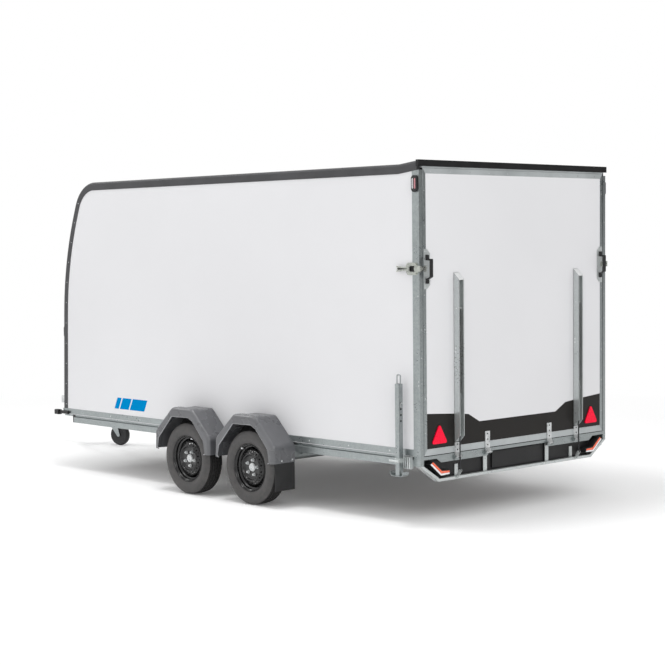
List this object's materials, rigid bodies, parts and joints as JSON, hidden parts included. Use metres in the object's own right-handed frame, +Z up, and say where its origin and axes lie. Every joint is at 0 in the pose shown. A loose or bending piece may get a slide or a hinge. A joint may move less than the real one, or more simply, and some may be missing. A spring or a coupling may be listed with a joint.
{
  "type": "box trailer",
  "caption": "Tandem-axle enclosed box trailer with a rear loading ramp on gas struts, side fenders, rear support legs, a drawbar and a jockey wheel.",
  "frame": {"origin": "on the ground, in the middle of the overall length and width", "axes": "+X forwards to the coupling, +Y to the left side, +Z up"},
  "size_m": [6.002, 2.55, 2.542],
  "materials": {
    "white_panel": "gloss",
    "grey_profile": "satin",
    "floor_ply": "matte",
    "galvanised": "satin",
    "cast_black": "satin",
    "bright_zinc": "satin",
    "ramp_alu": "satin",
    "fender_plastic": "matte",
    "black_plastic": "matte",
    "rubber": "matte",
    "lamp_red": "gloss",
    "strut_black": "gloss",
    "strut_rod": "gloss",
    "tyre": "matte",
    "rim_black": "gloss",
    "drum_iron": "matte"
  },
  "bodies": {
    "chassis": {"axle_tubes": "galvanised", "bumper_infill": "black_plastic", "coupling_head": "bright_zinc", "crossmembers": "galvanised", "drawbar_arms": "galvanised", "edge_profiles": "grey_profile", "fenders": "fender_plastic", "floor": "floor_ply", "front_handles": "black_plastic", "front_rail": "galvanised", "front_wall": "white_panel", "handbrake_lever": "bright_zinc", "jockey_crank": "bright_zinc", "jockey_tube": "galvanised", "leg_clamps": "galvanised", "marker_lamps": "rubber", "mud_flaps": "rubber", "overrun_bellows": "rubber", "overrun_device": "cast_black", "plate_holder": "black_plastic", "rail_caps": "black_plastic", "rear_bumper": "galvanised", "rear_header": "galvanised", "rear_posts": "galvanised", "rear_sill": "galvanised", "roof": "white_panel", "roof_rear_lip": "black_plastic", "side_rails": "galvanised", "side_walls": "white_panel", "swing_arms": "cast_black", "tail_lamps": "lamp_red", "toggle_latches": "bright_zinc"},
    "ramp": {"ramp_panel": "white_panel", "ramp_frame": "ramp_alu", "ramp_channels": "ramp_alu", "ramp_hinges": "bright_zinc", "ramp_handles": "black_plastic", "reflectors": "lamp_red"},
    "jockey_fork": {"jockey_fork": "galvanised"},
    "jockey_wheel": {"jockey_wheel": "rubber"},
    "leg_left": {"support_leg_left": "galvanised"},
    "leg_right": {"support_leg_right": "galvanised"},
    "strut_cylinder_left": {"strut_cylinder_left": "strut_black"},
    "strut_rod_left": {"strut_rod_left": "strut_rod"},
    "wheel_rear_left": {"tyre_rear_left": "tyre", "rim_rear_left": "rim_black", "hub_drum_rear_left": "drum_iron"},
    "wheel_front_left": {"tyre_front_left": "tyre", "rim_front_left": "rim_black", "hub_drum_front_left": "drum_iron"},
    "strut_cylinder_right": {"strut_cylinder_right": "strut_black"},
    "strut_rod_right": {"strut_rod_right": "strut_rod"},
    "wheel_rear_right": {"tyre_rear_right": "tyre", "rim_rear_right": "rim_black", "hub_drum_rear_right": "drum_iron"},
    "wheel_front_right": {"tyre_front_right": "tyre", "rim_front_right": "rim_black", "hub_drum_front_right": "drum_iron"}
  },
  "joints": [
    {"name": "ramp_hinge", "type": "hinge", "parent": "chassis", "child": "ramp", "pos_m": [-2.961, 0, 0.46], "axis": [0, -1, 0], "range_deg": [0, 103.5]},
    {"name": "strut_tilt_left", "type": "hinge", "parent": "ramp", "child": "strut_cylinder_left", "pos_m": [-2.974, 0.676, 1.51], "axis": [0, 1, 0], "range_deg": [0, 4.59]},
    {"name": "strut_stroke_left", "type": "slide", "parent": "strut_cylinder_left", "child": "strut_rod_left", "axis": [0.0043, 0, 1], "range_m": [0, 0.1407]},
    {"name": "strut_tilt_right", "type": "hinge", "parent": "ramp", "child": "strut_cylinder_right", "pos_m": [-2.974, -0.676, 1.51], "axis": [0, 1, 0], "range_deg": [0, 4.59]},
    {"name": "strut_stroke_right", "type": "slide", "parent": "strut_cylinder_right", "child": "strut_rod_right", "axis": [0.0043, 0, 1], "range_m": [0, 0.1407]},
    {"name": "wheel_spin_rear_left", "type": "hinge", "parent": "chassis", "child": "wheel_rear_left", "pos_m": [-1.349, 1.1775, 0.284], "axis": [0, 1, 0], "continuous": true},
    {"name": "wheel_spin_rear_right", "type": "hinge", "parent": "chassis", "child": "wheel_rear_right", "pos_m": [-1.349, -1.1775, 0.284], "axis": [0, 1, 0], "continuous": true},
    {"name": "wheel_spin_front_left", "type": "hinge", "parent": "chassis", "child": "wheel_front_left", "pos_m": [-0.589, 1.1775, 0.284], "axis": [0, 1, 0], "continuous": true},
    {"name": "wheel_spin_front_right", "type": "hinge", "parent": "chassis", "child": "wheel_front_right", "pos_m": [-0.589, -1.1775, 0.284], "axis": [0, 1, 0], "continuous": true},
    {"name": "jockey_swivel", "type": "hinge", "parent": "chassis", "child": "jockey_fork", "pos_m": [2.431, -0.1976, 0.3], "axis": [0, 0, 1], "continuous": true},
    {"name": "jockey_spin", "type": "hinge", "parent": "jockey_fork", "child": "jockey_wheel", "pos_m": [2.35113, -0.22667, 0.104], "axis": [-0.342, 0.9397, 0], "continuous": true},
    {"name": "leg_slide_left", "type": "slide", "parent": "chassis", "child": "leg_left", "axis": [0, 0, -1], "range_m": [0, 0.33]},
    {"name": "leg_slide_right", "type": "slide", "parent": "chassis", "child": "leg_right", "axis": [0, 0, -1], "range_m": [0, 0.33]}
  ],
  "couplings": [
    {"joint": "strut_tilt_left", "follows": "ramp_hinge", "ratio": 0.041406},
    {"joint": "strut_stroke_left", "follows": "ramp_hinge", "m_per_rad": 0.076222},
    {"joint": "strut_tilt_right", "follows": "ramp_hinge", "ratio": 0.041406},
    {"joint": "strut_stroke_right", "follows": "ramp_hinge", "m_per_rad": 0.076222}
  ]
}
